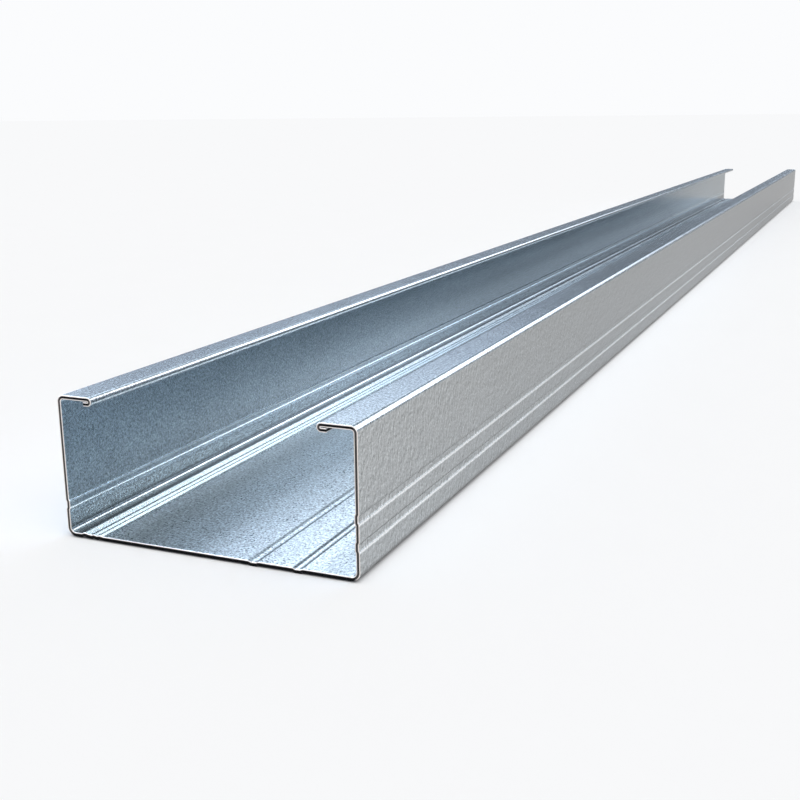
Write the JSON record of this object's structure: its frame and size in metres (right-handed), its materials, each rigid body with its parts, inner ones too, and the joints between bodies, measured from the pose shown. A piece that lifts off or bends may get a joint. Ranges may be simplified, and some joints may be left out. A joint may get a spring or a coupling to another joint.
{
  "type": "lipped channel profile for wall lining",
  "caption": "Roll-formed galvanised steel channel with inward lips, hemmed edges and stiffening grooves and ribs along web and flanges.",
  "frame": {"origin": "mid length, on the centre line of the web, level with the lowest point of the web grooves", "axes": "+X across the web towards the flange with two grooves, +Y along the length, +Z from the web to the open side"},
  "size_m": [0.06, 0.9, 0.0272],
  "materials": {
    "galvanised_steel": "hot-dip zinc, fine grain, satin"
  },
  "bodies": {
    "root": {"lipped_channel": "galvanised_steel"}
  },
  "joints": []
}
